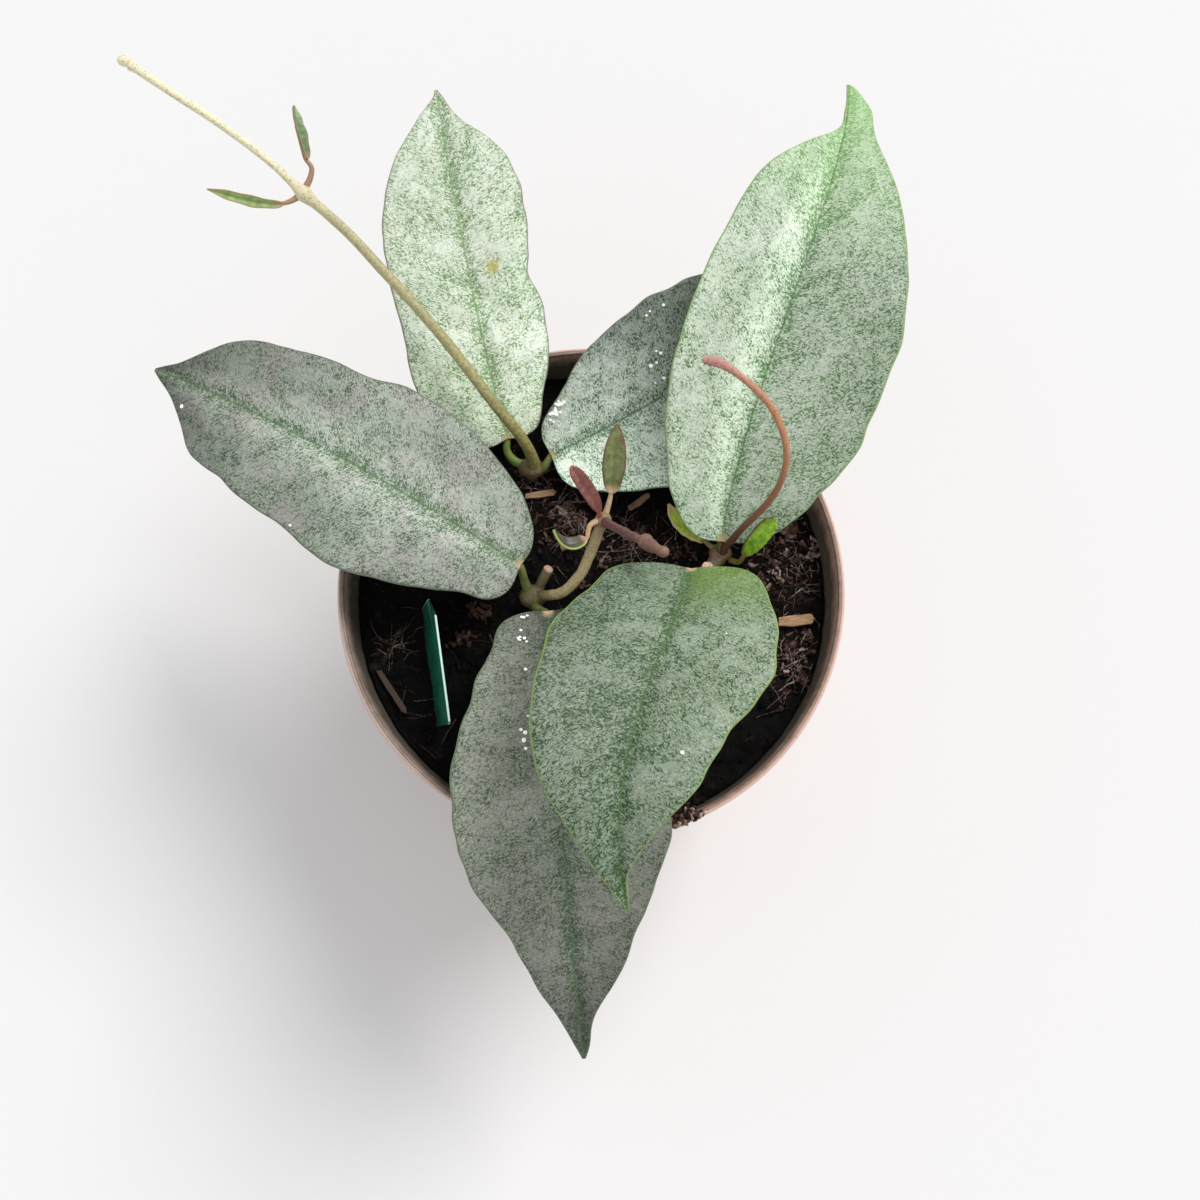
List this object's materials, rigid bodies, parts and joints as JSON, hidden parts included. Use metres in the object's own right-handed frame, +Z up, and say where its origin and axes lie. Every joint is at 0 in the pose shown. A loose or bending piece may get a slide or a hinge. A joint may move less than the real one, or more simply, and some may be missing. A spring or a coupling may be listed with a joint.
{
  "type": "potted hoya plant",
  "caption": "Young hoya with broad silvery leaves, a long bare shoot and an arched flower stalk, growing in a filled round plastic nursery pot that stands on its flat base.",
  "frame": {"origin": "middle of the pot's base, on the surface that it stands on", "axes": "+Z up, +X to the right and +Y away from someone who stands in front; the plant reaches furthest along Y"},
  "size_m": [0.1788, 0.231, 0.1533],
  "materials": {
    "pot_plastic": "satin",
    "peat": "rough",
    "chip_wood": "rough",
    "label_plastic": "gloss",
    "silver_leaf": "satin",
    "green_stem": "satin",
    "olive_shoot": "satin",
    "young_leaf": "satin",
    "brown_stalk": "satin",
    "red_shoot": "matte"
  },
  "bodies": {
    "root": {"pot": "pot_plastic", "soil": "peat", "chip_right": "chip_wood", "chip_back": "chip_wood", "chip_middle": "chip_wood", "chip_back_right": "chip_wood", "chip_left": "chip_wood", "plant_label": "label_plastic", "leaf_back_left": "silver_leaf", "leaf_left": "silver_leaf", "leaf_back_right": "silver_leaf", "leaf_right": "silver_leaf", "leaf_front": "silver_leaf", "leaf_front_low": "silver_leaf", "stem_back": "green_stem", "stem_left": "green_stem", "stem_right": "green_stem", "long_shoot": "olive_shoot", "shoot_leaf_up": "young_leaf", "shoot_leaf_left": "young_leaf", "flower_stalk": "brown_stalk", "small_leaf_left": "young_leaf", "small_leaf_right": "young_leaf", "young_leaf_up": "young_leaf", "young_leaf_curled": "young_leaf", "young_leaf_red": "red_shoot", "red_shoot_tip": "red_shoot"}
  },
  "joints": []
}
